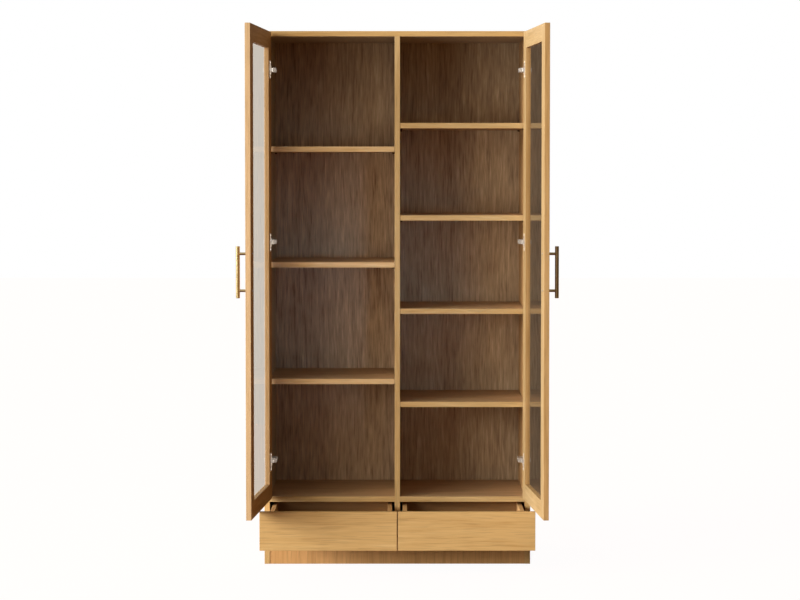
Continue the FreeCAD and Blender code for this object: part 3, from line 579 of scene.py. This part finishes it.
def surroundFinish(tree):
    fill = studio["fill"]
    direction = addNode(tree, "ShaderNodeTexCoord")
    parts = addNode(tree, "ShaderNodeSeparateXYZ", None, {0: direction.outputs["Generated"]})
    path = addNode(tree, "ShaderNodeLightPath")

    # the light on the wood
    front = addNode(tree, "ShaderNodeMapRange",
                    {"From Min": fill["span"][0], "From Max": fill["span"][1],
                     "To Min": fill["left"], "To Max": fill["right"]},
                    {"Value": parts.outputs["X"]})
    behind = addNode(tree, "ShaderNodeMapRange",
                     {"From Min": fill["wrap"][0], "From Max": fill["wrap"][1]},
                     {"Value": parts.outputs["Y"]})
    level = addNode(tree, "ShaderNodeMix", {"data_type": "FLOAT", "B": fill["behind"]},
                    {"Factor": behind.outputs["Result"], "A": front.outputs["Result"]})
    climb = addNode(tree, "ShaderNodeMapRange",
                    {"From Min": fill["rise"][0], "From Max": fill["rise"][1],
                     "To Min": fill["low"], "To Max": fill["high"]},
                    {"Value": parts.outputs["Z"]})
    soft = addNode(tree, "ShaderNodeMath", {"operation": "MULTIPLY"},
                   {0: level.outputs["Result"], 1: climb.outputs["Result"]})

    # what metal mirrors, what glass shows, and plain white for the camera
    across = addNode(tree, "ShaderNodeMapRange", {"From Min": -1.0, "From Max": 1.0},
                     {"Value": parts.outputs["X"]})
    mirrored = addNode(tree, "ShaderNodeFloatCurve", None, {"Value": across.outputs["Result"]})
    setCurve(mirrored, studio["sheen"])
    metal = addNode(tree, "ShaderNodeMix", {"data_type": "FLOAT"},
                    {"Factor": path.outputs["Is Glossy Ray"], "A": soft.outputs[0],
                     "B": mirrored.outputs[0]})
    pane = addNode(tree, "ShaderNodeMix", {"data_type": "FLOAT", "B": studio["glassGlow"]},
                   {"Factor": path.outputs["Is Transmission Ray"], "A": metal.outputs["Result"]})
    strength = addNode(tree, "ShaderNodeMix", {"data_type": "FLOAT", "B": 1.0},
                       {"Factor": path.outputs["Is Camera Ray"], "A": pane.outputs["Result"]})

    # the light is warm, and warmest low down, while what is seen of the surround stays white
    seenRays = addNode(tree, "ShaderNodeMath", {"operation": "MAXIMUM"},
                       {0: clearView(tree, path).outputs[0], 1: path.outputs["Is Glossy Ray"]})
    above = addNode(tree, "ShaderNodeMapRange",
                    {"From Min": studio["lowBand"][0], "From Max": studio["lowBand"][1]},
                    {"Value": parts.outputs["Z"]})
    tinted = addNode(tree, "ShaderNodeMix",
                     {"data_type": "RGBA", "A": studio["lowColour"], "B": studio["fillColour"]},
                     {"Factor": above.outputs["Result"]})
    warmth = addNode(tree, "ShaderNodeMix", {"data_type": "RGBA", "B": (1, 1, 1, 1)},
                     {"Factor": seenRays.outputs[0], "A": tinted.outputs["Result"]})
    surround = addNode(tree, "ShaderNodeBackground", None,
                       {"Color": warmth.outputs["Result"], "Strength": strength.outputs["Result"]})
    addNode(tree, "ShaderNodeOutputWorld", None, {"Surface": surround.outputs["Background"]})


world = bpy.data.worlds.new("paleStudio")
bpy.context.scene.world = world
world.use_nodes = True
world.node_tree.nodes.clear()
surroundFinish(world.node_tree)


# Seamless paper, matt and rolled out without a fold. The eye sees an even white ground with soft
# warm shadows. Most of the white is the paper's own glow, and the brown is what the ground throws
# back on the wood.
paperLook = {
    "size": 40.0,                     # metres
    "colour": "#7f5032",
    "glowShare": 0.62,                # how much of the look is glow
    "glow": 1.56,
    "glowBehindGlass": 0.25,          # added where it is seen through glass
    "glowFrom": (0.3, 1.0),           # metres back from the middle, where metal begins to mirror it
}


def paperFinish():
    material, tree = startMaterial("WhiteSeamlessPaper")
    paper = addNode(tree, "ShaderNodeBsdfDiffuse", {"Color": linearColour(paperLook["colour"])})
    path = addNode(tree, "ShaderNodeLightPath")
    lift = addNode(tree, "ShaderNodeMath",
                   {"operation": "MULTIPLY_ADD", 1: paperLook["glowBehindGlass"], 2: paperLook["glow"]},
                   {0: path.outputs["Is Transmission Ray"]})
    glow = addNode(tree, "ShaderNodeEmission", None, {"Strength": lift.outputs[0]})
    place = addNode(tree, "ShaderNodeTexCoord")
    placeParts = addNode(tree, "ShaderNodeSeparateXYZ", None, {0: place.outputs["Object"]})
    further = addNode(tree, "ShaderNodeMapRange",
                      {"From Min": paperLook["glowFrom"][0], "From Max": paperLook["glowFrom"][1]},
                      {"Value": placeParts.outputs["Y"]})
    glossyRays = addNode(tree, "ShaderNodeMath", {"operation": "MULTIPLY"},
                         {0: further.outputs["Result"], 1: path.outputs["Is Glossy Ray"]})
    seenRays = addNode(tree, "ShaderNodeMath", {"operation": "MAXIMUM"},
                       {0: clearView(tree, path).outputs[0], 1: glossyRays.outputs[0]})
    share = addNode(tree, "ShaderNodeMath", {"operation": "MULTIPLY", 1: paperLook["glowShare"]},
                    {0: seenRays.outputs[0]})
    mixed = addNode(tree, "ShaderNodeMixShader", None,
                    {0: share.outputs[0], 1: paper.outputs["BSDF"], 2: glow.outputs["Emission"]})
    addNode(tree, "ShaderNodeOutputMaterial", None, {"Surface": mixed.outputs["Shader"]})
    return material


bpy.ops.mesh.primitive_plane_add(size=paperLook["size"], location=(0, 0, 0))
floor = bpy.context.object
floor.name = "studioFloor"
floor.data.materials.append(paperFinish())


# Two screens of wool felt, pressed, without a weave or a gloss, so that the eye sees one even tone:
# a pale backdrop and, before it, a brown flag behind the right door. Only the glass shows them.
screens = {
    "paleBackdrop": {"place": (0.0, 4.0, 6.0), "size": (30.0, 12.0), "colour": "#ffffff",
                     "glow": studio["glassGlow"]},
    "brownFlag": {"place": (0.62, 1.0, 1.06), "size": (0.24, 2.12), "colour": "#64594d",
                  "glow": 1.0},
}

for name, screenLook in screens.items():
    bpy.ops.mesh.primitive_plane_add(size=1, location=(0, 0, 0))
    screen = bpy.context.object
    screen.name = name
    upright = Matrix.Rotation(math.radians(90), 4, "X")
    screen.data.transform(Matrix.Translation(screenLook["place"]) @ upright
                          @ Matrix.Diagonal((*screenLook["size"], 1, 1)))
    material, tree = startMaterial(name + "Felt")
    felt = addNode(tree, "ShaderNodeEmission",
                   {"Color": linearColour(screenLook["colour"]), "Strength": screenLook["glow"]})
    addNode(tree, "ShaderNodeOutputMaterial", None, {"Surface": felt.outputs["Emission"]})
    screen.data.materials.append(material)
    screen.visible_camera = False
    screen.visible_diffuse = False
    screen.visible_glossy = False
    screen.visible_shadow = False

bpy.context.scene.view_settings.view_transform = "Standard"
print("studio lit")
